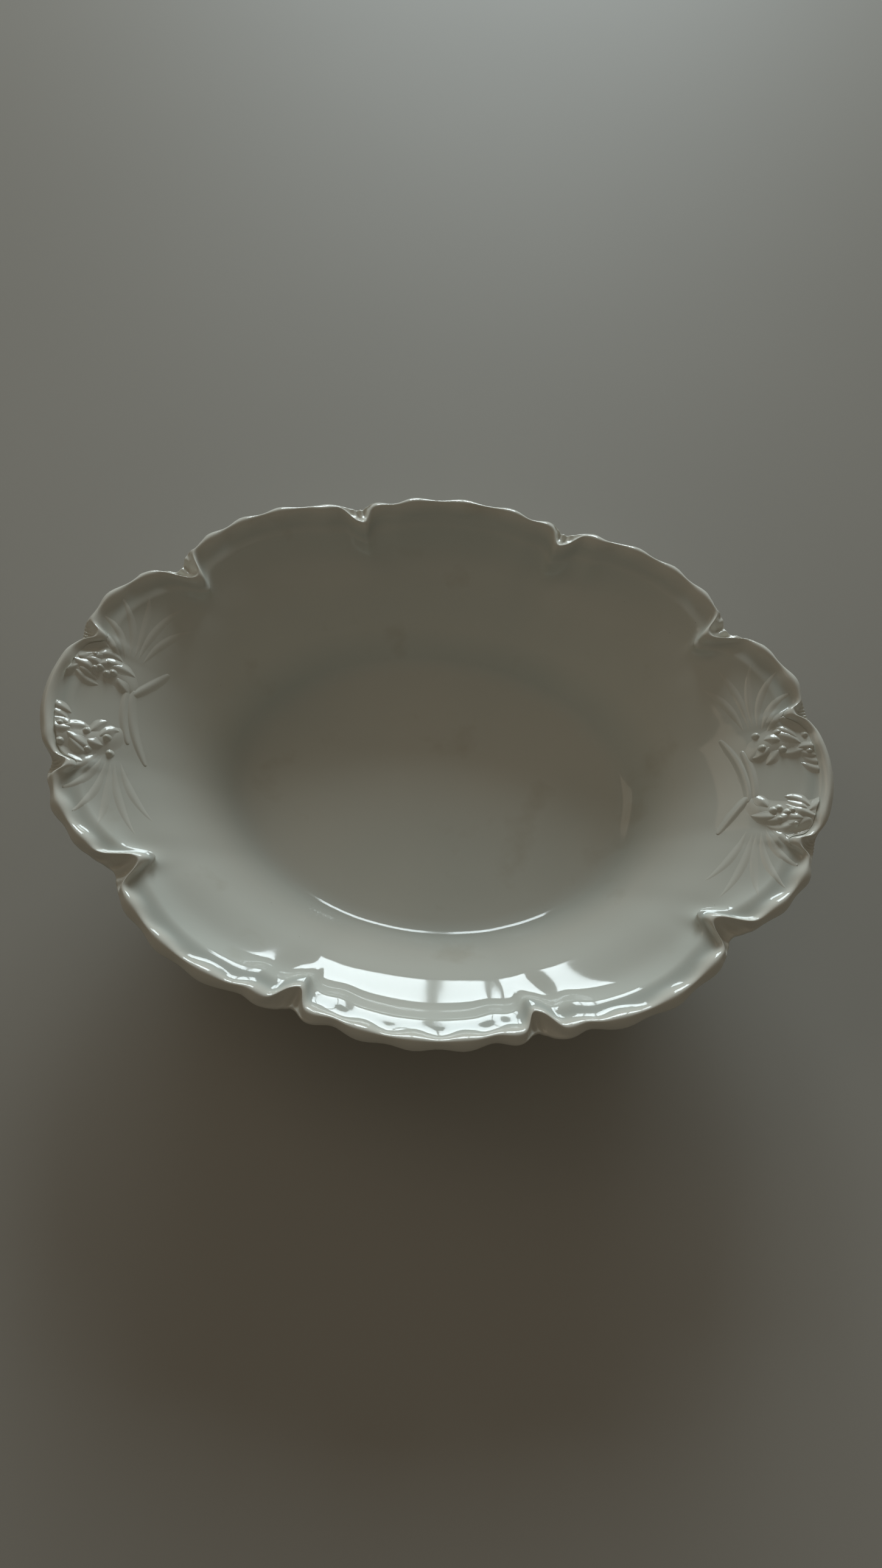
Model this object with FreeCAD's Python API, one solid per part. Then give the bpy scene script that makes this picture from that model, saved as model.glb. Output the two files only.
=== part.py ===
import FreeCAD, Part
import math
import os

# Oval porcelain serving bowl with a lobed, rolled rim and a moulded wreath at each end.
# Millimetres. +X runs along the bowl, +Z is up, and the origin is under the middle of the foot.

# Overall sizes
bowl_length = 253.0
bowl_width = 198.0
end_height = 52.0
side_height = 46.5

# Well and foot
floor_height = 8.0
floor_half_length = 62.0
floor_half_width = 46.5
floor_thickness = 4.0
foot_half_length = 60.0
foot_half_width = 45.0
foot_width = 6.0
foot_taper = 1.2

# Wall: how far inside the rim's edge it ends, and how far below the crest at the ends and sides
wall_thickness = 4.2
wall_inset = 10.6
wall_drop_end = 3.5
wall_drop_side = 6.6
# Section of the inner wall: share of the run, share of the rise at the ends and at the sides
wall_section = (
    (0.000, 0.000, 0.000),
    (0.084, 0.028, 0.016),
    (0.155, 0.095, 0.059),
    (0.220, 0.190, 0.135),
    (0.358, 0.420, 0.303),
    (0.501, 0.635, 0.477),
    (0.692, 0.840, 0.672),
    (0.859, 0.945, 0.800),
    (1.000, 1.000, 1.000),
)
# The lobes fade out down the wall with this power of the share of the run
broad_fade = 4.0
narrow_fade = 8.0

# Rim, from the wall outwards: inset from the edge, drop below the crest at the ends and at the
# sides, then the shares of a notch's turn in, of the crest's sink and of the edge's sink
rim_section = (
    (9.2, 2.9, 5.0, 0.55, 0.90, 0.00),
    (6.6, 2.6, 3.5, 0.80, 1.00, 0.00),
    (4.7, 1.9, 2.2, 0.95, 1.00, 0.00),
    (3.4, 0.6, 0.7, 1.00, 1.00, 0.00),
    (2.2, 0.0, 0.0, 1.00, 1.00, 0.00),
    (1.2, 0.5, 0.5, 0.95, 1.00, 0.20),
    (0.2, 1.9, 1.9, 0.10, 0.40, 0.90),
    (0.0, 2.7, 2.7, 0.00, 0.20, 0.95),
    (0.7, 4.1, 4.1, 0.00, 0.20, 0.95),
)
groove_row = 1

# Dips of the outline in one quarter: angle and half-width in degrees, depth in millimetres
broad_dips = (
    (37.0, 8.0, 5.2),
    (73.0, 8.0, 2.3),
)
narrow_dips = (
    (13.5, 5.0, 2.5),
    (13.5, 2.0, 1.2),
    (37.0, 1.8, 3.7),
    (72.7, 1.2, 2.1),
    (65.8, 1.3, 1.0),
    (78.7, 1.3, 0.8),
)
outline_dips = broad_dips + narrow_dips
# Where the crest turns in at the notches: angle, half-width, depth
crest_dips = (
    (14.4, 1.7, 3.2),
    (36.9, 2.2, 5.6),
    (72.0, 1.7, 4.0),
)
# How far the crest and the edge sink at the notches: angle, half-width, depth
crest_sinks = (
    (13.8, 3.0, 0.8),
    (36.6, 3.0, 1.4),
    (72.6, 3.0, 2.0),
)
edge_sinks = (
    (14.4, 1.9, 1.9),
    (36.9, 2.4, 2.2),
    (72.2, 1.9, 1.7),
)

# Wreath, stems and palmettes at each end; places are measured in from the bowl's end
relief_height = 0.9
relief_reach = 40.0
wreath_inset = 14.1
wreath_radius = 12.2
leaf_length = 8.2
leaf_width = 2.7
leaf_splay = 24.0
leaf_pairs = 5
leaf_start = 52.0
leaf_step = 23.0
berries = 3
berry_radius = 1.3
stem_width = 2.4
rib_width = 1.8
least_volume = 1.0
# Ribs of one palmette: start, middle and tip, each as distance in from the end and out from the axis
palmette_ribs = (
    ((20.5, 15.5), (16.7, 21.8), (10.3, 26.0)),
    ((21.8, 17.2), (18.5, 26.2), (11.1, 31.6)),
    ((23.2, 18.6), (21.7, 30.2), (16.3, 39.4)),
    ((24.9, 19.2), (25.6, 31.2), (25.3, 42.0)),
    ((26.8, 19.2), (29.1, 31.0), (36.7, 42.0)),
    ((28.6, 18.6), (32.1, 27.6), (40.3, 35.4)),
)
# Tied stems, given the same way: the long cut one, the short one and the tail on the other side
stem_lines = (
    ((26.2, -8.0), (27.5, 3.2), (33.7, 16.2)),
    ((24.3, -7.4), (24.9, 2.0), (27.7, 11.0)),
    ((25.7, -5.6), (30.3, -11.4), (34.9, -18.0)),
)

# Fineness of the surface
columns = 240


def quarter(angle):
    """The angle folded into the first quarter, in degrees."""
    folded = math.degrees(angle) % 180.0
    return min(folded, 180.0 - folded)


def bells(angle, dips):
    """Sum of bell curves over a quarter, mirrored into its neighbours."""
    here = quarter(angle)
    total = 0.0
    for centre, spread, depth in dips:
        for place in (centre, -centre, 180.0 - centre):
            total += depth * math.exp(-0.5 * ((here - place) / spread) ** 2)
    return total


def along(angle, end_value, side_value):
    """A value that runs smoothly from the ends of the bowl to its sides."""
    return side_value + (end_value - side_value) * math.cos(angle) ** 2


def rim_height(angle):
    """Height of the crest before the notches sink it."""
    return along(angle, end_height, side_height)


def on_oval(angle, half_length, half_width, inset, height):
    """A point of an oval, moved in towards the middle by inset."""
    x = half_length * math.cos(angle)
    y = half_width * math.sin(angle)
    share = 1.0 - inset / math.hypot(x, y)
    return FreeCAD.Vector(x * share, y * share, height)


def on_rim(angle, inset, turn_in, height):
    """A point of the rim: inset from the lobed edge, and turn_in further at a notch."""
    pulled = bells(angle, outline_dips) + turn_in
    return on_oval(angle, bowl_length / 2 - inset, bowl_width / 2 - inset, pulled, height)


def inner_wall(angle):
    """Points of the inner wall, from the floor up to the welt; the lobes fade out downwards."""
    low = on_oval(angle, floor_half_length, floor_half_width, 0, floor_height)
    drop = along(angle, wall_drop_end, wall_drop_side) + 0.6 * bells(angle, crest_sinks)
    half_length = bowl_length / 2 - wall_inset
    half_width = bowl_width / 2 - wall_inset
    high = on_oval(angle, half_length, half_width, 0, rim_height(angle) - drop)
    run = FreeCAD.Vector(high.x - low.x, high.y - low.y, 0)
    outwards = FreeCAD.Vector(run).normalize()
    broad = bells(angle, broad_dips)
    narrow = bells(angle, narrow_dips) + 0.35 * bells(angle, crest_dips)
    points = []
    for share, rise_end, rise_side in wall_section:
        drawn = broad * share**broad_fade + narrow * share**narrow_fade
        rise = (high.z - low.z) * along(angle, rise_end, rise_side)
        points.append(low + run * share - outwards * drawn + FreeCAD.Vector(0, 0, rise))
    return points


def outer_wall(angle, inner):
    """Points of the outer wall, downwards: the inner one moved out and down by the thickness."""
    shift = wall_thickness / math.sqrt(2)
    half_length = floor_half_length + shift
    half_width = floor_half_width + shift
    base = on_oval(angle, half_length, half_width, 0, floor_height - floor_thickness)
    across = FreeCAD.Vector(inner[-1].x - inner[0].x, inner[-1].y - inner[0].y, 0).normalize()
    step = across * shift - FreeCAD.Vector(0, 0, shift)
    return [point + step for point in inner[:0:-2]] + [base]


def profile(angle):
    """The bowl's section at one angle, from the middle of the floor over the rim to the foot."""
    turn_in = bells(angle, crest_dips)
    crest_sink = bells(angle, crest_sinks)
    edge_sink = bells(angle, edge_sinks)
    inner = inner_wall(angle)
    rim = []
    for inset, drop_end, drop_side, turn_share, crest_share, edge_share in rim_section:
        drop = along(angle, drop_end, drop_side) + crest_share * crest_sink + edge_share * edge_sink
        rim.append(on_rim(angle, inset, turn_share * turn_in, rim_height(angle) - drop))
    return inner + rim + outer_wall(angle, inner)


def stations(section):
    """Where each point of the section lies along it, from 0 to 1, closer where it bends."""
    gaps = [0.0]
    for before, after in zip(section, section[1:]):
        gaps.append(gaps[-1] + math.sqrt((after - before).Length))
    return [gap / gaps[-1] for gap in gaps]


def skin(places):
    """One smooth surface over the whole section, closed round the bowl."""
    poles = []
    for k in range(columns):
        curve = Part.BSplineCurve()
        curve.interpolate(Points=profile(2 * math.pi * k / columns), Parameters=places)
        poles.append(curve.getPoles())
    around = [float(k) for k in range(columns + 1)]
    once = [1] * len(around)
    up = (curve.getMultiplicities(), curve.getKnots())
    surface = Part.BSplineSurface()
    surface.buildFromPolesMultsKnots(poles, once, up[0], around, up[1], True, False, 3, 3)
    return surface


def bowl_body(surface):
    """The well, wall and rim as one shell, with a flat floor and a flat underside."""
    side = surface.toShape()
    rings = [edge for edge in side.Edges if edge.isClosed()]
    caps = [Part.Face(Part.Wire([ring])) for ring in rings]
    shell = Part.Shell([side] + caps)
    shell.sewShape()
    return Part.Solid(shell)


def oval(half_length, half_width, height):
    """A closed oval wire, level at a height."""
    middle = FreeCAD.Vector(0, 0, height)
    tip = FreeCAD.Vector(half_length, 0, height)
    side = FreeCAD.Vector(0, half_width, height)
    return Part.Wire([Part.Ellipse(tip, side, middle).toShape()])


def foot_ring():
    """The ring that the bowl stands on, a little narrower where it touches the table."""
    top = floor_height - floor_thickness
    outer = Part.makeLoft(
        [
            oval(foot_half_length - foot_taper, foot_half_width - foot_taper, 0),
            oval(foot_half_length, foot_half_width, top),
        ],
        True,
    )
    low = foot_width - foot_taper
    inner = Part.makeLoft(
        [
            oval(foot_half_length - low, foot_half_width - low, 0),
            oval(foot_half_length - foot_width, foot_half_width - foot_width, top),
        ],
        True,
    )
    return outer.cut(inner)


def spear(start, middle, end, width):
    """A slim leaf, rib or stem: two arcs from start to end, width apart at the middle."""
    line = (end - start).normalize()
    across = FreeCAD.Vector(-line.y, line.x, 0) * (width / 2)
    left = Part.Arc(start, middle + across, end).toShape()
    right = Part.Arc(end, middle - across, start).toShape()
    return Part.Face(Part.Wire([left, right])).extrude(FreeCAD.Vector(0, 0, bowl_width))


def disc(middle, radius):
    """A round berry or knob."""
    return Part.makeCylinder(radius, bowl_width, middle)


def at(x, y):
    """A place on the table plane."""
    return FreeCAD.Vector(x, y, 0)


def from_end(place, side):
    """A place given as distance in from the bowl's right end and out from its axis."""
    inwards, outwards = place
    return at(bowl_length / 2 - inwards, side * outwards)


def round_wreath(degrees, radius):
    """A place at an angle and radius from the middle of the wreath."""
    angle = math.radians(degrees)
    return from_end((wreath_inset - radius * math.cos(angle), radius * math.sin(angle)), 1)


def leaf(degrees, turn, side):
    """One leaf that grows along the branch towards the stems, splayed to one side."""
    root = round_wreath(degrees, wreath_radius)
    heading = math.radians(degrees - turn * (90 - side * leaf_splay))
    tip = root + FreeCAD.Vector(math.cos(heading), math.sin(heading), 0) * leaf_length
    middle = (root + tip) * 0.5
    return spear(root, middle, tip, leaf_width)


def branch(turn):
    """Half of the wreath: pairs of leaves with berries between. turn is -1 or 1."""
    pieces = []
    for k in range(leaf_pairs):
        place = 180 + turn * (leaf_start + k * leaf_step)
        pieces.append(leaf(place, turn, 1))
        pieces.append(leaf(place, turn, -1))
    for k in range(berries):
        place = 180 + turn * (leaf_start + (k + 0.9) * leaf_step)
        pieces.append(disc(round_wreath(place, wreath_radius + 3 - 3 * (k % 2)), berry_radius))
    return pieces[0].multiFuse(pieces[1:])


def fan(side):
    """Ribs that spread from beside the wreath into one palmette lobe. side is -1 or 1."""
    pieces = []
    for start, middle, tip in palmette_ribs:
        pieces.append(spear(from_end(start, side), from_end(middle, side), from_end(tip, side), rib_width))
    return pieces[0].multiFuse(pieces[1:])


def stems():
    """The tied stems, with a knob where the long one is cut."""
    pieces = []
    for start, middle, tip in stem_lines:
        pieces.append(spear(from_end(start, 1), from_end(middle, 1), from_end(tip, 1), stem_width))
    cut_end = from_end(stem_lines[0][2], 1)
    pieces.append(disc(cut_end, stem_width * 0.6))
    return pieces[0].multiFuse(pieces[1:])


def relief_layer(surface, places):
    """A thin layer lying on the inside of the bowl, at its left end."""
    reach = round(columns * relief_reach / 360)
    groove = len(wall_section) + groove_row
    patch = surface.copy()
    patch.segment(columns / 2 - reach, columns / 2 + reach, places[2], places[groove])
    return patch.toShape().extrude(FreeCAD.Vector(0, 0, relief_height))


def half_turned(shape):
    """The same shape at the other end of the bowl."""
    turned = shape.copy()
    turned.rotate(FreeCAD.Vector(0, 0, 0), FreeCAD.Vector(0, 0, 1), 180)
    return turned


def save(shape, node):
    """One node, one file."""
    shape.exportStep("parts/" + node + ".step")


def save_sprig(layer, outline, clear_of, name):
    """A relief in its outline, clear of its neighbour, at both ends of the bowl."""
    sprig = layer.common(half_turned(outline))
    if clear_of:
        sprig = sprig.cut(half_turned(clear_of))
    # Crumbs that the cut leaves are dropped.
    sprig = Part.makeCompound([piece for piece in sprig.Solids if piece.Volume > least_volume])
    save(sprig, "left_" + name)
    save(half_turned(sprig), "right_" + name)


os.makedirs("parts", exist_ok=True)
places = stations(profile(0.0))
surface = skin(places)
save(bowl_body(surface), "bowl_body")
save(foot_ring(), "foot_ring")

layer = relief_layer(surface, places)
wreath = [branch(-1), branch(1)]
both = wreath[0].fuse(wreath[1])
save_sprig(layer, wreath[0], None, "wreath_far")
save_sprig(layer, wreath[1], None, "wreath_near")
save_sprig(layer, fan(1), both, "palmette_far")
save_sprig(layer, fan(-1), both, "palmette_near")
save_sprig(layer, stems(), both, "stems")
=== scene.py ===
import math

import bmesh
import bpy
import numpy as np
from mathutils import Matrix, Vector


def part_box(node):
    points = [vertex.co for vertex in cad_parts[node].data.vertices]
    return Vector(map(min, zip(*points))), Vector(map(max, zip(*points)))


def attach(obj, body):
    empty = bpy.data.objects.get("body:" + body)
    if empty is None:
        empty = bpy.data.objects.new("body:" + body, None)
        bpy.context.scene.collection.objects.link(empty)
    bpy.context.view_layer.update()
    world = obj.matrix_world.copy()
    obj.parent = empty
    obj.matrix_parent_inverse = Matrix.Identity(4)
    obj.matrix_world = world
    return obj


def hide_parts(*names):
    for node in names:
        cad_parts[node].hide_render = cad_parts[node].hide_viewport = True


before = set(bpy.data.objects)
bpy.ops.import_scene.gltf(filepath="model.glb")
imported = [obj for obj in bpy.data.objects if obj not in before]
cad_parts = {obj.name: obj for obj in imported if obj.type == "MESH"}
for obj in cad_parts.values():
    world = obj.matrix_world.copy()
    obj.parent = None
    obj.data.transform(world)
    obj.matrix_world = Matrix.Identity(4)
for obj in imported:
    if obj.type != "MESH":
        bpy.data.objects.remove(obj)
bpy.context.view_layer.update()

# Lengths in the dictionaries below are millimetres and angles are degrees; meshes are made in metres.
mm = 0.001
bodyHigh = np.array(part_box("bowl_body")[1]) / mm
footHigh = np.array(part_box("foot_ring")[1]) / mm


def gridFaces(count, rowCount, columnCount, closed):
    # Faces of several equal grids that follow one another in one list of points.
    index = np.arange(rowCount * columnCount).reshape(rowCount, columnCount)
    if closed:
        index = np.hstack([index, index[:, :1]])
    quads = np.stack([index[:-1, :-1], index[1:, :-1], index[1:, 1:], index[:-1, 1:]], -1).reshape(-1, 4)
    return (quads + rowCount * columnCount * np.arange(count)[:, None, None]).reshape(-1, 4)


thinPooling = 0.3          # how much glaze lies on a piece that gives no values of its own
weldDistance = 1e-7        # metres


def smoothMesh(name, points, faces, values=None):
    # Mesh from points in millimetres, shaded smooth. Points that meet, at a pole or along a seam,
    # are welded. values is how thick the glaze pools at each point, from 0 to 1.
    mesh = bpy.data.meshes.new(name)
    mesh.from_pydata((points * mm).tolist(), [], faces)
    pooling = mesh.attributes.new("pooling", "FLOAT", "POINT")
    pooling.data.foreach_set("value", np.full(len(points), thinPooling) if values is None else values)
    work = bmesh.new()
    work.from_mesh(mesh)
    bmesh.ops.remove_doubles(work, verts=work.verts, dist=weldDistance)
    work.to_mesh(mesh)
    work.free()
    mesh.polygons.foreach_set("use_smooth", np.ones(len(mesh.polygons), bool))
    mesh.update()
    return mesh


def gridMesh(name, rows, closed=True, values=None):
    # Grid surface: rows[i, j] is a point; row i joins row i+1 and column j joins column j+1.
    # A closed grid joins its last column to its first.
    faces = gridFaces(1, *rows.shape[:2], closed).tolist()
    return smoothMesh(name, rows.reshape(-1, 3), faces, values)


def addPiece(name, mesh, material, slot, *nodes):
    # One finished piece: it rides on the bowl and takes the place of the nodes named.
    piece = bpy.data.objects.new(name, mesh)
    bpy.context.scene.collection.objects.link(piece)
    mesh.materials.append(material)
    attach(piece, "root")
    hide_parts(*nodes)
    return piece


def naturalSpline(stations):
    # Matrix that turns key values at the stations into their second derivatives, for the cubic
    # spline whose ends are not bent.
    count = len(stations)
    gap = np.diff(stations)
    left = np.eye(count)
    right = np.zeros((count, count))
    for k in range(1, count - 1):
        left[k, k - 1:k + 2] = gap[k - 1], 2 * (gap[k - 1] + gap[k]), gap[k]
        right[k, k - 1:k + 2] = 6 / gap[k - 1], -6 / gap[k - 1] - 6 / gap[k], 6 / gap[k]
    return np.linalg.solve(left, right)


def splineAt(stations, bend, keys, place):
    # Cubic spline through keys[..., station, axis], read at place[...]; bend is naturalSpline's matrix.
    second = np.einsum("ij,...jk->...ik", bend, keys)
    k = np.clip(np.searchsorted(stations, place, side="right") - 1, 0, len(stations) - 2)
    gap = (stations[k + 1] - stations[k])[..., None]
    b = (place[..., None] - stations[k][..., None]) / gap
    a = 1 - b
    at = k[..., None, None]
    low, high, bendLow, bendHigh = (
        np.take_along_axis(array, at + step, -2)[..., 0, :] for array in (keys, second) for step in (0, 1)
    )
    return a * low + b * high + ((a**3 - a) * bendLow + (b**3 - b) * bendHigh) * gap**2 / 6


bowl = {
    "endHeight": bodyHigh[2],
    "sideHeight": 46.5,
    "floorHeight": 8.0,
    "floorHalf": (62.0, 46.5),
    "wallThickness": 4.2,
    "wallInset": 10.6,
    "wallTopDrop": (3.5, 6.6),          # below the crest, at the ends and at the sides
    "wallSink": 0.6,                    # shares of the crest's sink and turn in at the wall's top
    "wallTurn": 0.35,
    # Section of the inner wall: share of the run, share of the rise at the ends and at the sides
    "wall": (
        (0.000, 0.000, 0.000),
        (0.084, 0.028, 0.016),
        (0.155, 0.095, 0.059),
        (0.220, 0.190, 0.135),
        (0.286, 0.300, 0.215),
        (0.358, 0.420, 0.303),
        (0.430, 0.535, 0.390),
        (0.501, 0.635, 0.477),
        (0.597, 0.750, 0.590),
        (0.692, 0.840, 0.672),
        (0.776, 0.900, 0.735),
        (0.859, 0.945, 0.800),
        (0.931, 0.975, 0.888),
        (1.000, 1.000, 1.000),
    ),
    # Rim from the wall outwards: inset, drop at the ends, drop at the sides, shares of a notch's
    # turn in, sink and outer hollow, then how far a bead of the roll moves it inwards and upwards
    "rim": (
        (9.2, 2.9, 5.0, 0.55, 0.90, 0.00, 0.0, 0.0),     # welt
        (6.6, 2.6, 3.5, 0.80, 1.00, 0.00, 0.1, 0.0),     # groove
        (4.7, 1.9, 2.2, 0.95, 1.00, 0.00, 0.9, 0.2),     # inner foot of the roll
        (3.4, 0.6, 0.7, 1.00, 1.00, 0.00, 0.6, 0.7),     # inner shoulder
        (2.2, 0.0, 0.0, 1.00, 1.00, 0.00, 0.1, 1.0),     # crest
        (1.2, 0.5, 0.5, 0.97, 1.00, 0.20, -0.5, 1.0),    # outer shoulder
        (0.6, 1.2, 1.2, 0.50, 0.60, 1.20, -0.9, 0.8),    # hollow behind the lip
        (0.2, 1.9, 1.9, 0.08, 0.30, 0.90, -1.0, 0.5),    # lip
        (0.0, 2.7, 2.7, 0.00, 0.20, 0.95, -1.0, 0.3),    # edge
        (0.7, 4.1, 4.1, 0.00, 0.20, 0.95, -0.6, 0.0),    # under the edge
    ),
    # Dips of the outline in one quarter: angle, half-width, depth. Down the wall a dip's depth falls
    # with a power of the wall's share, slowly for the broad ones and soon for the narrow ones.
    "broadDips": ((37.0, 8.0, 5.2), (73.0, 8.0, 2.3)),
    "narrowDips": (
        (13.5, 5.0, 2.5), (13.5, 2.0, 1.2), (37.0, 1.8, 3.7),
        (72.7, 1.2, 2.1), (65.8, 1.3, 1.0), (78.7, 1.3, 0.8),
    ),
    "broadFade": 4.0,
    "narrowFade": 8.0,
    # At the notches the crest turns in and sinks, and the lip behind it sinks
    "crestDips": ((14.7, 1.25, 3.3, 3), (10.5, 1.6, -0.9), (36.9, 2.15, 5.4, 3), (71.7, 1.5, 4.8, 3)),
    "crestSinks": ((13.8, 3.0, 0.8), (36.6, 3.0, 1.4), (72.6, 3.0, 2.0)),
    "lipSinks": ((14.4, 1.9, 1.9), (36.9, 2.4, 2.2), (72.2, 1.9, 1.7)),
    # Fluted lip at each notch: angle, half-width, pitch, height
    "flutes": ((14.3, 1.0, 0.64, 0.35), (36.9, 4.0, 2.1, 0.45), (72.4, 1.2, 1.15, 0.35)),
    "waves": 48,
    "waveInset": 0.50,
    "waveHeight": 0.35,
    "waveDrift": ((5, 0.8, 1.0), (3, 0.5, 0.0)),    # times round the bowl, size and phase in radians
    "calmEnds": (0, 7, 1.6),
}
mesher = {
    "columns": 1040,
    "notchCrowding": 4.0,      # how much closer the columns stand at a notch
    "notchReach": 4.0,
    "wallRows": 2,             # rows from one key of the section to the next
    "rimRows": 4,
    "outerRows": 3,
    "floorRows": 6,
    "countingSteps": 7200,
}
# How thick the glaze lies along the section: number of the key, thickness there from 0 to 1
glazePools = ((0, 0.5), (2, 0.8), (5, 0.3), (14, 0.6), (15, 1.0), (17, 0.0), (19, 0.1), (31, 0.4))


def quarterOf(angle):
    # The angle folded into the first quarter, in degrees.
    here = np.degrees(angle) % 180
    return np.minimum(here, 180 - here)


def bells(angle, dips):
    # Sum of bell curves over one quarter, mirrored into the quarters beside it. A power above 2
    # gives a bell a flat top and steep sides.
    here = quarterOf(angle)
    total = np.zeros_like(here)
    for centre, spread, depth, *power in dips:
        for place in (centre, -centre, 180 - centre):
            total += depth * np.exp(-0.5 * np.abs((here - place) / spread) ** (power or [2])[0])
    return total


def flutes(angle):
    # Cosine flutes along the lip, each group inside a bell curve at its notch.
    here = quarterOf(angle)
    total = np.zeros_like(here)
    for centre, spread, pitch, height in bowl["flutes"]:
        away = here - centre
        total += height * np.cos(2 * np.pi * away / pitch) * np.exp(-0.5 * (away / spread) ** 2)
    return total


def along(angle, endValue, sideValue):
    # A value that runs from the bowl's ends to its sides with the square of the cosine.
    return sideValue + (endValue - sideValue) * np.cos(angle) ** 2


outlineDips = bowl["broadDips"] + bowl["narrowDips"]
# The edge's beads swell the sides, so the width leaves room for them.
halfLength, halfWidth = bodyHigh[:2] - (0, bowl["waveInset"]) + bells(np.array([0, np.pi / 2]), outlineDips)


def onOval(angle, semiLong, semiWide, inset, height):
    # Point of an oval drawn in towards the middle by inset.
    x = semiLong * np.cos(angle)
    y = semiWide * np.sin(angle)
    share = 1 - inset / np.hypot(x, y)
    return np.stack([x * share, y * share, height + 0 * x], -1)


def section(angle):
    # Key points of the bowl's section at each angle: inner wall, rim, outer wall, in that order.
    outline = bells(angle, outlineDips)
    turnIn = bells(angle, bowl["crestDips"])
    sink = bells(angle, bowl["crestSinks"])
    hollow = bells(angle, bowl["lipSinks"])
    crest = along(angle, bowl["endHeight"], bowl["sideHeight"])
    # The rim's beads are a cosine whose pitch drifts a little and which fades towards the ends.
    swing = bowl["waves"] * angle
    for times, size, phase in bowl["waveDrift"]:
        swing = swing + size * np.sin(times * angle + phase)
    bead = np.cos(swing) * np.exp(-0.5 * bells(angle, (bowl["calmEnds"],)) ** 2)
    beadIn = bowl["waveInset"] * bead
    beadUp = bowl["waveHeight"] * bead

    low = onOval(angle, *bowl["floorHalf"], 0, bowl["floorHeight"])
    inset = bowl["wallInset"]
    topDrop = along(angle, *bowl["wallTopDrop"]) + bowl["wallSink"] * sink
    high = onOval(angle, halfLength - inset, halfWidth - inset, 0, crest - topDrop)
    run = high[..., :2] - low[..., :2]
    rise = (high - low)[..., 2]
    length = np.linalg.norm(run, axis=-1, keepdims=True)
    outwards = run / length
    broad = bells(angle, bowl["broadDips"])
    narrow = outline - broad + bowl["wallTurn"] * turnIn
    inner = []
    for share, riseEnd, riseSide in bowl["wall"]:
        drawn = broad * share**bowl["broadFade"] + narrow * share**bowl["narrowFade"]
        plan = low[..., :2] + run * share - drawn[..., None] * outwards
        up = low[..., 2] + rise * along(angle, riseEnd, riseSide)
        inner.append(np.concatenate([plan, up[..., None]], -1))

    rim = []
    for inset, dropEnd, dropSide, turnShare, sinkShare, hollowShare, inShare, upShare in bowl["rim"]:
        drop = along(angle, dropEnd, dropSide) + sinkShare * sink + hollowShare * hollow
        drop -= upShare * beadUp + min(hollowShare, 1) * flutes(angle)
        pulled = outline + turnShare * turnIn + inShare * beadIn
        rim.append(onOval(angle, halfLength - inset, halfWidth - inset, pulled, crest - drop))

    shift = bowl["wallThickness"] / math.sqrt(2)
    step = np.concatenate([outwards * shift, np.full_like(length, -shift)], -1)
    outer = [point + step for point in inner[::-2]]
    base = onOval(angle, bowl["floorHalf"][0] + shift, bowl["floorHalf"][1] + shift, 0, footHigh[2])
    outer.append(base)
    return np.stack(inner + rim + outer, -2)


def sectionStations():
    # Where each key lies along the section: sums of the square roots of the gaps, at the bowl's end.
    keys = section(np.array([0.0]))[0]
    gaps = np.sqrt(np.linalg.norm(np.diff(keys, axis=0), axis=1))
    return np.concatenate([[0], np.cumsum(gaps)])


stations = sectionStations()
bend = naturalSpline(stations)
wallKeys, rimKeys = len(bowl["wall"]), len(bowl["rim"])


def bowlSurface(angle, place):
    # Point of the bowl's skin at an angle round it and a place along its section.
    return splineAt(stations, bend, section(angle), place)


def columnAngles():
    # Angles round the bowl, closer together at the notches, from the running total of their density.
    fine = np.linspace(0, 2 * np.pi, mesher["countingSteps"] + 1)
    reach, crowding = mesher["notchReach"], mesher["notchCrowding"]
    notches = tuple((centre, reach, crowding) for centre, *rest in bowl["crestDips"])
    density = 1 + bells(fine, notches)
    total = np.concatenate([[0], np.cumsum((density[1:] + density[:-1]) / 2)])
    return np.interp(np.arange(mesher["columns"]) * total[-1] / mesher["columns"], total, fine)


def sectionRows():
    # Places along the section, with as many rows between keys as each zone needs.
    rows = []
    for k, (start, end) in enumerate(zip(stations, stations[1:])):
        zone = "wallRows" if k < wallKeys - 1 else "rimRows" if k < wallKeys + rimKeys - 1 else "outerRows"
        rows.append(np.linspace(start, end, mesher[zone], endpoint=False))
    return np.concatenate(rows + [stations[-1:]])


def bodyMesh():
    # Floor, skin and underside in one grid; glaze pools in the cove and in the rim's groove.
    angle = columnAngles()
    place = sectionRows()
    grid = bowlSurface(angle[None, :] + 0 * place[:, None], place[:, None] + 0 * angle[None, :])
    share = np.linspace(0, 1, mesher["floorRows"], endpoint=False)[:, None, None]
    floor = grid[:1] * np.array([1, 1, 0]) * share + np.array([0, 0, bowl["floorHeight"]])
    under = grid[-1:] * np.array([1, 1, 0]) * share[::-1] + np.array([0, 0, footHigh[2]])
    rows = np.concatenate([floor, grid, under])
    keys, depths = zip(*glazePools)
    pools = np.interp(place, stations[list(keys)], depths)
    pools = np.concatenate([np.full(len(floor), depths[0]), pools, np.full(len(under), depths[-1])])
    return gridMesh("bowlBody", rows, True, np.repeat(pools, mesher["columns"]))


foot = {
    "width": 6.0,
    "fillet": 1.6,
    "bottomRound": 1.3,
    "arcPoints": 7,
    "columns": 320,
    "bury": 1.0,       # how far its top reaches into the bowl's underside
}


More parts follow.
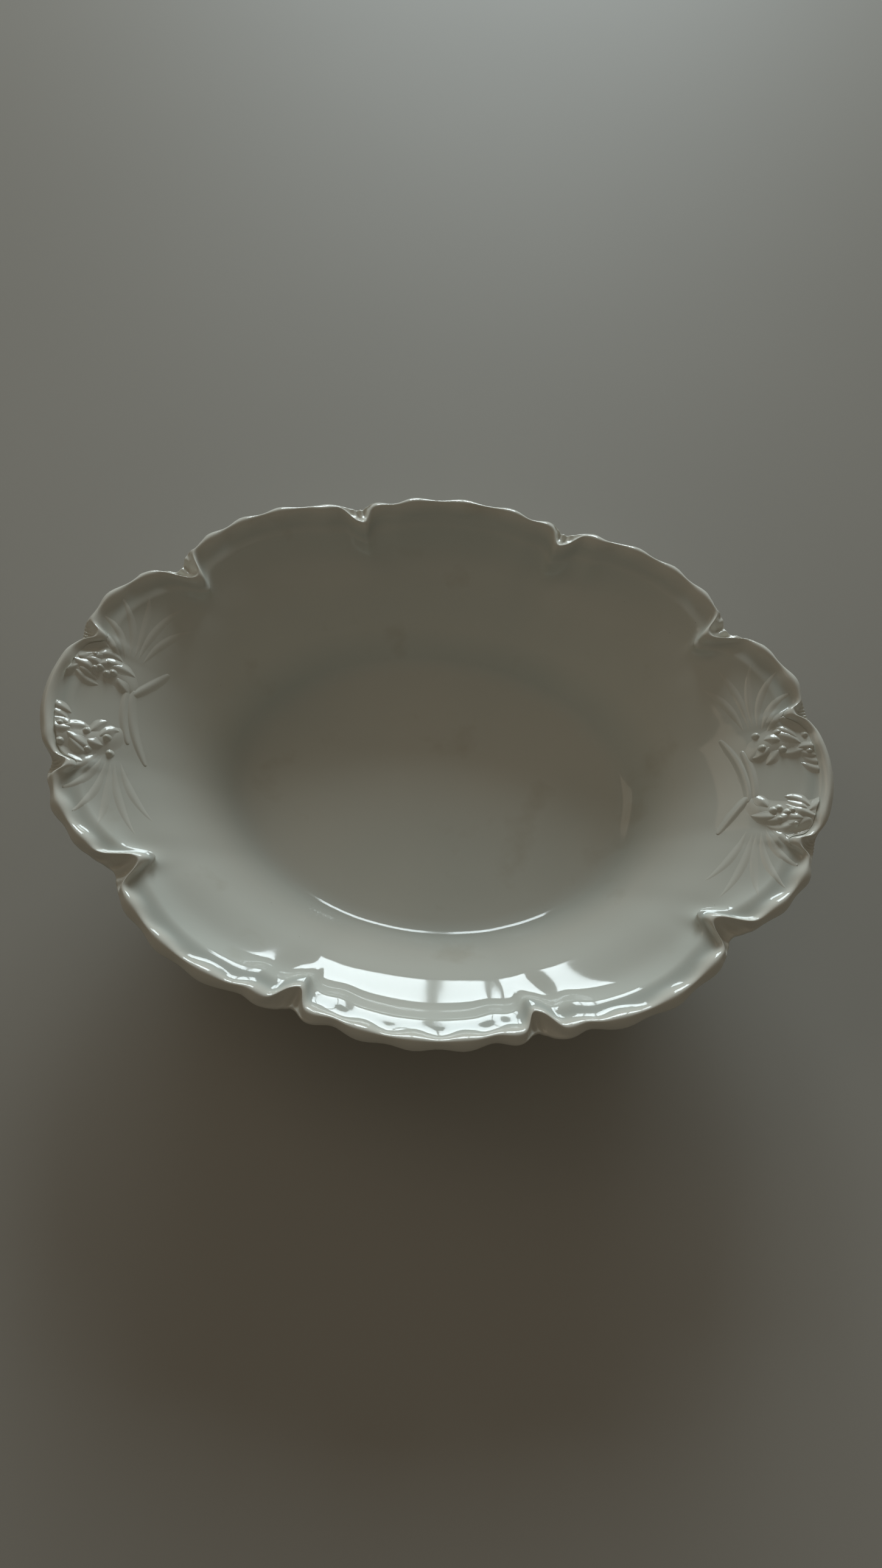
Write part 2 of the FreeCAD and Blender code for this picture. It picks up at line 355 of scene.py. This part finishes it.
def footMesh():
    # Profile carried round the oval: down the outside with a fillet, round the standing edge, up the inside.
    turn = np.linspace(0, np.pi / 2, foot["arcPoints"])
    fillet, small, top = foot["fillet"], foot["bottomRound"], footHigh[2]
    flare = np.stack([fillet * (1 - np.sin(turn)), top - fillet * (1 - np.cos(turn))], -1)
    standing = np.stack([-small * (1 - np.cos(turn)), small * (1 - np.sin(turn))], -1)
    outside = np.concatenate([[[fillet, top + foot["bury"]]], flare, standing])
    inside = outside[::-1] * np.array([-1, 1]) - np.array([foot["width"], 0])
    profile = np.concatenate([outside, inside])
    angle = np.linspace(0, 2 * np.pi, foot["columns"], endpoint=False)
    out, up = profile[:, :1], profile[:, 1:]
    x = (footHigh[0] + out) * np.cos(angle)
    y = (footHigh[1] + out) * np.sin(angle)
    rows = np.stack([x, y, up + 0 * x], -1)
    rows = np.concatenate([rows, rows[:1]])    # back to its first row, where the weld closes it
    return gridMesh("footRing", rows)


relief = {
    "sunk": 0.03,              # the border of a relief lies this far under the glaze, so no edge shows
    "depth": 0.6,              # and its closed underside this much deeper
    "lengthPoints": 26,
    "crossPoints": 13,
    "newtonSteps": 8,
    "newtonNudge": 1e-4,
    "longestStep": 2.0,
}
# Leaves of one branch at the right end: root, middle and tip in plan. The places of the leaves and
# berries were printed by a measuring script, not chosen by hand, and should become a loop.
nearLeaves = (
    ((118.0, -17.8), (113.9, -21.0), (110.0, -20.0)),
    ((114.6, -15.3), (109.6, -17.7), (105.4, -16.6)),
    ((116.3, -14.5), (112.9, -14.1), (110.7, -12.2)),
    ((119.5, -13.5), (114.8, -11.7), (111.0, -9.3)),
    ((117.6, -11.7), (121.5, -8.4), (124.3, -7.0)),
    ((118.2, -9.9), (114.6, -7.3), (110.7, -6.4)),
    ((117.2, -11.0), (114.5, -9.5), (111.5, -8.0)),
    ((115.8, -14.3), (112.7, -16.3), (109.8, -17.2)),
    ((118.0, -14.2), (116.5, -15.5), (112.9, -18.0)),
    ((112.5, -12.3), (108.2, -14.9), (104.4, -14.4)),
    ((105.7, -10.3), (103.8, -7.6), (101.2, -6.1)),
    ((108.2, -13.5), (104.6, -13.9), (100.9, -12.6)),
)
farLeaves = (
    ((119.5, 16.3), (113.9, 20.1), (108.6, 21.4)),
    ((122.0, 10.7), (118.3, 11.2), (115.0, 10.4)),
    ((120.9, 8.1), (118.2, 8.5), (115.0, 10.0)),
    ((123.5, 2.8), (119.9, 3.8), (116.2, 5.5)),
    ((122.5, 5.7), (119.7, 6.3), (116.6, 8.0)),
    ((117.8, 10.8), (113.9, 8.9), (110.2, 9.3)),
    ((109.6, 10.2), (107.9, 7.3), (105.8, 5.2)),
    ((106.8, 11.3), (104.4, 8.2), (101.8, 7.8)),
    ((115.0, 14.1), (112.1, 16.7), (108.9, 18.0)),
    ((116.3, 12.2), (111.2, 15.1), (108.5, 15.8)),
    ((109.9, 13.1), (107.9, 14.2), (105.2, 14.0)),
)
nearBerries = (
    (122.0, -13.4), (113.4, -16.5), (108.8, -14.6), (108.9, -10.7),
    (107.2, -11.5), (112.6, -11.5), (111.3, -12.3),
)
farBerries = ((103.0, 15.9), (109.3, 16.5), (117.6, 15.7), (118.7, 9.5), (110.8, 10.2), (104.7, 11.0))
palmetteRibs = (
    ((106.0, 15.5), (109.8, 21.8), (116.2, 26.0)),
    ((104.9, 17.0), (108.0, 26.2), (115.4, 31.6)),
    ((103.7, 17.8), (104.8, 30.2), (110.2, 39.4)),
    ((102.5, 18.2), (100.9, 31.2), (101.2, 42.0)),
    ((101.2, 18.0), (97.4, 31.0), (89.8, 42.0)),
    ((99.8, 17.4), (94.4, 27.6), (86.2, 35.4)),
)
stemLines = (
    ((100.3, -8.0), (99.0, 3.2), (92.8, 16.2)),
    ((102.2, -7.4), (101.6, 2.0), (98.8, 11.0)),
    ((100.8, -5.6), (96.2, -11.4), (91.6, -18.0)),
)
# Forms: width and height, height of a soft midrib, where a leaf is fullest and how bluntly it ends
leafForm = {"width": 4.3, "height": 0.52, "ridge": 0.30, "fullest": 0.9, "taper": 0.8}
ribForm = {"width": 3.0, "height": 0.26, "ridge": 0.0, "fullest": 1.0, "taper": 0.9}
stemForm = {"width": 3.4, "height": 0.60, "ridge": 0.0, "fullest": 0.8, "taper": 0.28}
garland = {
    "centre": (112.4, 0.0),
    "radius": 13.6,
    "reach": 6.0,              # half-width of the mound at its fullest
    "height": 0.80,
    "angles": (28, 152),       # where a branch starts and ends, round the wreath's middle
    "taper": 0.5,
}
berryForm = {"radius": 1.35, "height": 1.0, "rings": 7, "columns": 18}


def onWall(plan, lift):
    # Point of the inner wall above a place in plan, lifted by a height along Z. The place's angle and
    # station are found by Newton steps on the bowl's surface.
    angle = np.arctan2(plan[..., 1] / halfWidth, plan[..., 0] / halfLength)
    place = np.full(angle.shape, stations[wallKeys - 2])
    lowest, highest = 0.5, stations[wallKeys + 2]
    tiny = relief["newtonNudge"]
    longest = relief["longestStep"]
    for step in range(relief["newtonSteps"]):
        here = bowlSurface(angle, place)
        turned = (bowlSurface(angle + tiny, place) - here)[..., :2] / tiny
        moved = (bowlSurface(angle, place + tiny) - here)[..., :2] / tiny
        miss = plan - here[..., :2]
        area = turned[..., 0] * moved[..., 1] - turned[..., 1] * moved[..., 0]
        angle = angle + (miss[..., 0] * moved[..., 1] - miss[..., 1] * moved[..., 0]) / area
        climb = (turned[..., 0] * miss[..., 1] - turned[..., 1] * miss[..., 0]) / area
        place = np.clip(place + np.clip(climb, -longest, longest), lowest, highest)
    raised = bowlSurface(angle, place)
    raised[..., 2] += lift
    return raised


def garlandLift(plan):
    # Low mound under the leaves: (1 - t^2)^2 across a ring round the wreath's middle, whose width and
    # height swell and taper with a sine from the start of each branch to its end.
    away = plan - np.array(garland["centre"])
    around = np.degrees(np.abs(np.arctan2(away[..., 1], away[..., 0])))
    start, end = garland["angles"]
    swell = np.sin(np.pi * np.clip((around - start) / (end - start), 0.001, 0.999)) ** garland["taper"]
    t = (np.hypot(away[..., 0], away[..., 1]) - garland["radius"]) / (garland["reach"] * swell)
    return garland["height"] * swell * np.clip(1 - t**2, 0, 1) ** 2


def crowded(count, start):
    # Values from start to 1, closer together towards each end that is a border, by a sine.
    return np.sin(np.linspace(start, 1, count) * np.pi / 2)


def sleeve(spine, across, halfSpan, swell, top):
    # Closed sleeve round a line in plan: the top goes from side to side and returns under the wall.
    # halfSpan and swell fall to nothing at both ends, so the sleeve is shut there.
    t = np.concatenate([crowded(top.shape[1], -1), [0.5, 0.0, -0.5]])
    plan = spine[:, None, :] + across[:, None, :] * (halfSpan * t)[..., None]
    below = np.repeat(-relief["depth"] * swell, 3, axis=1)
    return plan, np.concatenate([top, below], 1) - relief["sunk"]


def leafGrid(line, form):
    # Spear along a quadratic curve through root, middle and tip. Across it the height is
    # (1 - t^2)^2 plus a soft midrib, along it the width and height swell and taper with a sine.
    root, middle, tip = (np.array(point) for point in line)
    s = (1 + crowded(relief["lengthPoints"], -1)[:, None]) / 2
    t = crowded(relief["crossPoints"], -1)[None, :]
    pull = 2 * middle - (root + tip) / 2
    spine = (1 - s) ** 2 * root + 2 * s * (1 - s) * pull + s**2 * tip
    heading = 2 * (1 - s) * (pull - root) + 2 * s * (tip - pull)
    heading /= np.linalg.norm(heading, axis=1, keepdims=True)
    across = np.stack([-heading[:, 1], heading[:, 0]], -1)
    swell = np.clip(np.sin(np.pi * s ** form["fullest"]), 0, 1) ** form["taper"]
    swell[[0, -1]] = 0
    bulge = (1 - t**2) ** 2 + form["ridge"] * np.exp(-((t / 0.22) ** 2)) * (1 - t**2)
    return sleeve(spine, across, form["width"] / 2 * swell, swell, form["height"] * swell * bulge)


def moundGrid(side):
    # The mound itself, a sleeve along the ring. side is 1 for the far branch and -1 for the near one.
    s = (1 + crowded(2 * relief["lengthPoints"], -1)[:, None]) / 2
    start, end = garland["angles"]
    around = np.radians(start + s[:, 0] * (end - start)) * side
    outwards = np.stack([np.cos(around), np.sin(around)], -1)
    swell = np.clip(np.sin(np.pi * s), 0, 1) ** garland["taper"]
    swell[[0, -1]] = 0
    t = crowded(2 * relief["crossPoints"], -1)[None, :]
    top = garland["height"] * swell * (1 - t**2) ** 2
    spine = np.array(garland["centre"]) + garland["radius"] * outwards
    return sleeve(spine, -side * outwards, garland["reach"] * swell, swell, top)


def berryGrid(centre, form):
    # Round button: rings in plan, height (1 - r^2)^1.5, shut by a point under its middle.
    ring = np.append(crowded(form["rings"], 0), 0)[:, None]
    angle = np.linspace(0, 2 * np.pi, form["columns"], endpoint=False)[None, :]
    plan = np.array(centre) + form["radius"] * np.stack([ring * np.cos(angle), ring * np.sin(angle)], -1)
    lift = form["height"] * (1 - ring**2) ** 1.5 - relief["sunk"] + 0 * angle
    lift[-1] = -relief["depth"]
    return plan, lift


def reliefMesh(name, lines, form, berries=(), mirror=1, turn=1):
    # Leaves and berries laid on the wall, with the garland's mound under them. mirror -1 flips them
    # across the bowl's long axis, and turn -1 gives the other end's half-turned copy.
    flip = np.array([1, mirror]) * turn
    groups = [[leafGrid(line, form) for line in lines], [berryGrid(centre, berryForm) for centre in berries]]
    if berries:
        groups.append([moundGrid(1 if berries[0][1] > 0 else -1)])
    points, faces, first = [], [], 0
    for number, group in enumerate(groups):
        if not group:
            continue
        plan, lift = (np.stack(values) for values in zip(*group))
        if berries and number < 2:
            lift = lift + garlandLift(plan)
        laid = onWall(plan * flip, lift)
        quads = gridFaces(*laid.shape[:3], True) + first
        faces += (quads[:, ::-1] if mirror < 0 else quads).tolist()
        points.append(laid.reshape(-1, 3))
        first += len(points[-1])
    return smoothMesh(name, np.vstack(points), faces)


def linear(hexColour):
    # sRGB hex to the linear colour that a shader's socket takes.
    parts = [int(hexColour[k:k + 2], 16) / 255 for k in (1, 3, 5)]
    return tuple(c / 12.92 if c <= 0.04045 else ((c + 0.055) / 1.055) ** 2.4 for c in parts) + (1.0,)


def addNode(tree, kind, settings=None, inputs=None):
    # One node: settings are its own properties; inputs, by name or number, are values or the output
    # sockets to link from.
    node = tree.nodes.new(kind)
    for key, value in (settings or {}).items():
        setattr(node, key, value)
    for key, value in (inputs or {}).items():
        if isinstance(value, bpy.types.NodeSocket):
            tree.links.new(value, node.inputs[key])
        else:
            node.inputs[key].default_value = value
    return node


def newMaterial(name):
    # An empty material and its node tree.
    material = bpy.data.materials.new(name)
    material.use_nodes = True
    material.node_tree.nodes.clear()
    return material, material.node_tree


glaze = {
    "body": "#E8E6DC",
    "pooled": "#D3D8D1",
    "stain": "#B7AE98",
    "speck": "#85796A",
    "ior": 1.5,
    # Noise: size of its patches in millimetres, and detail
    "noises": {
        "drift": (60.0, 2.0),      # cloudiness of the body colour
        "stain": (22.0, 5.0),
        "wear": (22.0, 4.0),       # patches dulled by use
        "flow": (9.0, 1.0),        # slow waves of the fired glaze
        "peel": (1.4, 1.0),        # fine orange peel
    },
    "flowDepth": 0.035,
    "peelDepth": 0.0025,
    "speckPitch": 11.0,
    "speckRadius": 0.16,
    # Ranges: from, from, to, to
    "poolRange": (0.0, 0.55, 0.0, 1.0),
    "stainRange": (0.62, 0.80, 0.0, 0.35),
    "wearRange": (0.35, 0.70, 0.05, 0.10),
    "speckStrength": 0.7,
}
mixedColour = 2            # number of the Mix node's colour output; 6 and 7 are its colour inputs


def glazedPorcelain():
    # Hard-paste porcelain dipped in clear glaze: a cool white body under a glassy coat, greener where
    # the glaze pools, with waves in its highlights, a few iron specks and patches dulled by use.
    material, tree = newMaterial("glazedPorcelain")
    place = addNode(tree, "ShaderNodeTexCoord").outputs["Object"]
    noise = {}
    for name, (size, detail) in glaze["noises"].items():
        settings = {"Vector": place, "Scale": 1 / (size * mm), "Detail": detail}
        noise[name] = addNode(tree, "ShaderNodeTexNoise", None, settings).outputs["Fac"]

    pooling = addNode(tree, "ShaderNodeAttribute", {"attribute_name": "pooling"}).outputs["Fac"]
    deep = addNode(tree, "ShaderNodeMath", {"operation": "MULTIPLY"}, {0: pooling, 1: noise["drift"]})
    poolInputs = dict(enumerate([deep.outputs[0], *glaze["poolRange"]]))
    pools = addNode(tree, "ShaderNodeMapRange", None, poolInputs)
    stainInputs = dict(enumerate([noise["stain"], *glaze["stainRange"]]))
    stains = addNode(tree, "ShaderNodeMapRange", None, stainInputs)
    cellScale = 1 / (glaze["speckPitch"] * mm)
    cells = addNode(tree, "ShaderNodeTexVoronoi", None, {"Vector": place, "Scale": cellScale})
    share = glaze["speckRadius"] / glaze["speckPitch"]
    specks = addNode(tree, "ShaderNodeMapRange", None, {
        "Value": cells.outputs["Distance"],
        "From Min": share / 2, "From Max": share, "To Min": glaze["speckStrength"], "To Max": 0.0,
    })
    colour = linear(glaze["body"])
    for factor, tint in ((pools, "pooled"), (stains, "stain"), (specks, "speck")):
        inputs = {0: factor.outputs["Result"], 6: colour, 7: linear(glaze[tint])}
        colour = addNode(tree, "ShaderNodeMix", {"data_type": "RGBA"}, inputs).outputs[mixedColour]

    wearInputs = dict(enumerate([noise["wear"], *glaze["wearRange"]]))
    wear = addNode(tree, "ShaderNodeMapRange", None, wearInputs)
    flow = addNode(tree, "ShaderNodeBump", None, {
        "Height": noise["flow"], "Distance": glaze["flowDepth"] * mm, "Strength": 1.0,
    })
    peel = addNode(tree, "ShaderNodeBump", None, {
        "Height": noise["peel"], "Distance": glaze["peelDepth"] * mm, "Strength": 1.0,
        "Normal": flow.outputs["Normal"],
    })
    shader = addNode(tree, "ShaderNodeBsdfPrincipled", None, {
        "Base Color": colour, "Roughness": wear.outputs["Result"], "IOR": glaze["ior"],
        "Normal": peel.outputs["Normal"],
    })
    addNode(tree, "ShaderNodeOutputMaterial", None, {"Surface": shader.outputs["BSDF"]})
    return material


bisque = {
    "glazed": "#E4E4DB",
    "bare": "#D8D0C0",
    "grime": "#A89C86",
    "bareHeights": (0.5, 1.1),     # above the table, where the bare edge gives way to the glaze
    "grimeSize": 7.0,
    "grimeRange": (0.45, 0.75, 0.0, 0.8),
    "grainSize": 0.5,              # coarser than real biscuit's grain, so that it shows
    "grainDepth": 0.02,
    "glazedRoughness": 0.05,
    "bareRoughness": 0.75,
    "detail": 3.0,
}


def wipedFootRing():
    # Foot ring wiped clean of glaze before firing: glossy sides and a dry, slightly grimy biscuit edge
    # where the bowl stands.
    material, tree = newMaterial("wipedFootRing")
    place = addNode(tree, "ShaderNodeTexCoord").outputs["Object"]
    noise = {}
    for name in ("grime", "grain"):
        settings = {"Vector": place, "Scale": 1 / (bisque[name + "Size"] * mm), "Detail": bisque["detail"]}
        noise[name] = addNode(tree, "ShaderNodeTexNoise", None, settings).outputs["Fac"]

    low, high = (height * mm for height in bisque["bareHeights"])
    height = addNode(tree, "ShaderNodeSeparateXYZ", None, {"Vector": place}).outputs["Z"]
    bare = addNode(tree, "ShaderNodeMapRange", None, dict(enumerate([height, low, high, 1.0, 0.0])))
    bare = bare.outputs["Result"]
    grimeInputs = dict(enumerate([noise["grime"], *bisque["grimeRange"]]))
    grime = addNode(tree, "ShaderNodeMapRange", None, grimeInputs)
    dryInputs = {0: grime.outputs["Result"], 6: linear(bisque["bare"]), 7: linear(bisque["grime"])}
    dry = addNode(tree, "ShaderNodeMix", {"data_type": "RGBA"}, dryInputs).outputs[mixedColour]
    colourInputs = {0: bare, 6: linear(bisque["glazed"]), 7: dry}
    colour = addNode(tree, "ShaderNodeMix", {"data_type": "RGBA"}, colourInputs).outputs[mixedColour]
    roughness = addNode(tree, "ShaderNodeMapRange", None, {
        "Value": bare, "To Min": bisque["glazedRoughness"], "To Max": bisque["bareRoughness"],
    })
    grain = addNode(tree, "ShaderNodeBump", None, {
        "Height": noise["grain"], "Distance": bisque["grainDepth"] * mm, "Strength": 1.0,
    })
    shader = addNode(tree, "ShaderNodeBsdfPrincipled", None, {
        "Base Color": colour, "Roughness": roughness.outputs["Result"], "IOR": glaze["ior"],
        "Normal": grain.outputs["Normal"],
    })
    addNode(tree, "ShaderNodeOutputMaterial", None, {"Surface": shader.outputs["BSDF"]})
    return material


paint = {"dark": "#B4B1AA", "light": "#BDBAB3", "patchSize": 200.0, "detail": 3.0, "roughness": 0.6}


def palePaint():
    # Matt painted board for the stage: nearly plain, with a faint unevenness.
    material, tree = newMaterial("palePaint")
    place = addNode(tree, "ShaderNodeTexCoord").outputs["Object"]
    drift = addNode(tree, "ShaderNodeTexNoise", None, {
        "Vector": place, "Scale": 1 / (paint["patchSize"] * mm), "Detail": paint["detail"],
    })
    inputs = {0: drift.outputs["Fac"], 6: linear(paint["dark"]), 7: linear(paint["light"])}
    colour = addNode(tree, "ShaderNodeMix", {"data_type": "RGBA"}, inputs).outputs[mixedColour]
    shader = addNode(tree, "ShaderNodeBsdfPrincipled", None, {
        "Base Color": colour, "Roughness": paint["roughness"],
    })
    addNode(tree, "ShaderNodeOutputMaterial", None, {"Surface": shader.outputs["BSDF"]})
    return material


studio = {
    "floorSize": 6000.0,
    "floorSquares": 4,
    # Lengths of the lights are metres and powers are watts
    "windowDistance": 2.6,
    "windowPanes": ((-0.32, 0.56), (0.32, 0.56)),   # middle and width of each soft box
    "windowHeight": (0.02, 1.25),
    "windowPower": 26.0,
    "windowColour": "#EDFBFF",
    # Other soft boxes: name, place, what it faces, size, power, colour
    "lamps": (
        ("side", (-1.6, 0.9, 1.3), (0, 0, 0), (1.0, 1.0), 1.8, "#FFE9CC"),
        ("ceiling", (0, 0.3, 2.4), (0, 0.3, 0), (3.0, 3.0), 1.2, "#FFF4E2"),
    ),
    "roomColour": "#FFF2DA",
    "roomStrength": 0.10,
}
view = {
    "place": (-0.0115, -0.1692, 0.3756),            # metres
    "turn": (24.83, -4.40, 4.82),
    "sensorWidth": 36,
    "lens": 26.55,
    "nearest": 0.01,
}


def addLight(name, location, target, size, power, colour):
    # Rectangular soft box that faces the target: tilted from straight down, then turned round Z.
    lamp = bpy.data.lights.new(name, "AREA")
    lamp.shape = "RECTANGLE"
    lamp.size, lamp.size_y = size
    lamp.energy = power
    lamp.color = linear(colour)[:3]
    light = bpy.data.objects.new(name, lamp)
    bpy.context.scene.collection.objects.link(light)
    light.location = location
    aim = np.array(target, float) - np.array(location, float)
    flat = math.hypot(aim[0], aim[1])
    light.rotation_euler = (math.atan2(flat, -aim[2]), 0, math.atan2(-aim[0], aim[1]) if flat else 0)


def makeStage():
    # Plain floor, two tall soft boxes side by side beyond the bowl, and dim fill all round.
    half = studio["floorSize"] / 2
    span = np.linspace(-half, half, studio["floorSquares"] + 1)
    x, y = np.meshgrid(span, span, indexing="ij")
    floor = bpy.data.objects.new("floor", gridMesh("floor", np.stack([x, y, 0 * x], -1), False))
    bpy.context.scene.collection.objects.link(floor)
    floor.data.materials.append(palePaint())

    low, high = studio["windowHeight"]
    power, colour = studio["windowPower"], studio["windowColour"]
    for number, (middle, width) in enumerate(studio["windowPanes"]):
        place = (middle, studio["windowDistance"], (low + high) / 2)
        addLight(f"window{number}", place, (middle, 0, (low + high) / 2), (width, high - low), power, colour)
    for lamp in studio["lamps"]:
        addLight(*lamp)
    world = bpy.data.worlds.new("room")
    bpy.context.scene.world = world
    world.use_nodes = True
    room = world.node_tree.nodes["Background"]
    room.inputs["Color"].default_value = linear(studio["roomColour"])
    room.inputs["Strength"].default_value = studio["roomStrength"]


def setDisplay():
    # Plain sRGB display, so that a hex colour in even light shows as itself.
    bpy.context.scene.view_settings.view_transform = "Standard"
    bpy.context.scene.view_settings.look = "None"


def makeCamera():
    # Camera above the near side of the bowl, looking down and away from the viewer.
    camera = bpy.data.objects.new("camera", bpy.data.cameras.new("camera"))
    bpy.context.scene.collection.objects.link(camera)
    camera.location = view["place"]
    camera.rotation_euler = tuple(math.radians(turn) for turn in view["turn"])
    camera.data.sensor_width = view["sensorWidth"]
    camera.data.lens = view["lens"]
    camera.data.clip_start = view["nearest"]
    bpy.context.scene.camera = camera


makeCamera()
makeStage()
setDisplay()
print("stage, lights and camera are in place")

porcelain = glazedPorcelain()
addPiece("glazed_bowl", bodyMesh(), porcelain, "glazed_porcelain", "bowl_body")
print("the bowl's body is made")
addPiece("standing_ring", footMesh(), wipedFootRing(), "foot_porcelain", "foot_ring")
print("the foot ring is made")
for side, turn in (("right", 1), ("left", -1)):
    far, near = ("far", "near") if turn == 1 else ("near", "far")
    for name, node, lines, form, berries, mirror in (
        ("sprig_" + near, "wreath_" + near, nearLeaves, leafForm, nearBerries, 1),
        ("sprig_" + far, "wreath_" + far, farLeaves, leafForm, farBerries, 1),
        ("shell_" + near, "palmette_" + near, palmetteRibs, ribForm, (), -1),
        ("shell_" + far, "palmette_" + far, palmetteRibs, ribForm, (), 1),
        ("stalks", "stems", stemLines, stemForm, (), 1),
    ):
        mesh = reliefMesh(side + "_" + name, lines, form, berries, mirror, turn)
        addPiece(side + "_" + name, mesh, porcelain, "glazed_porcelain", side + "_" + node)
    print("the relief at the " + side + " end is made")
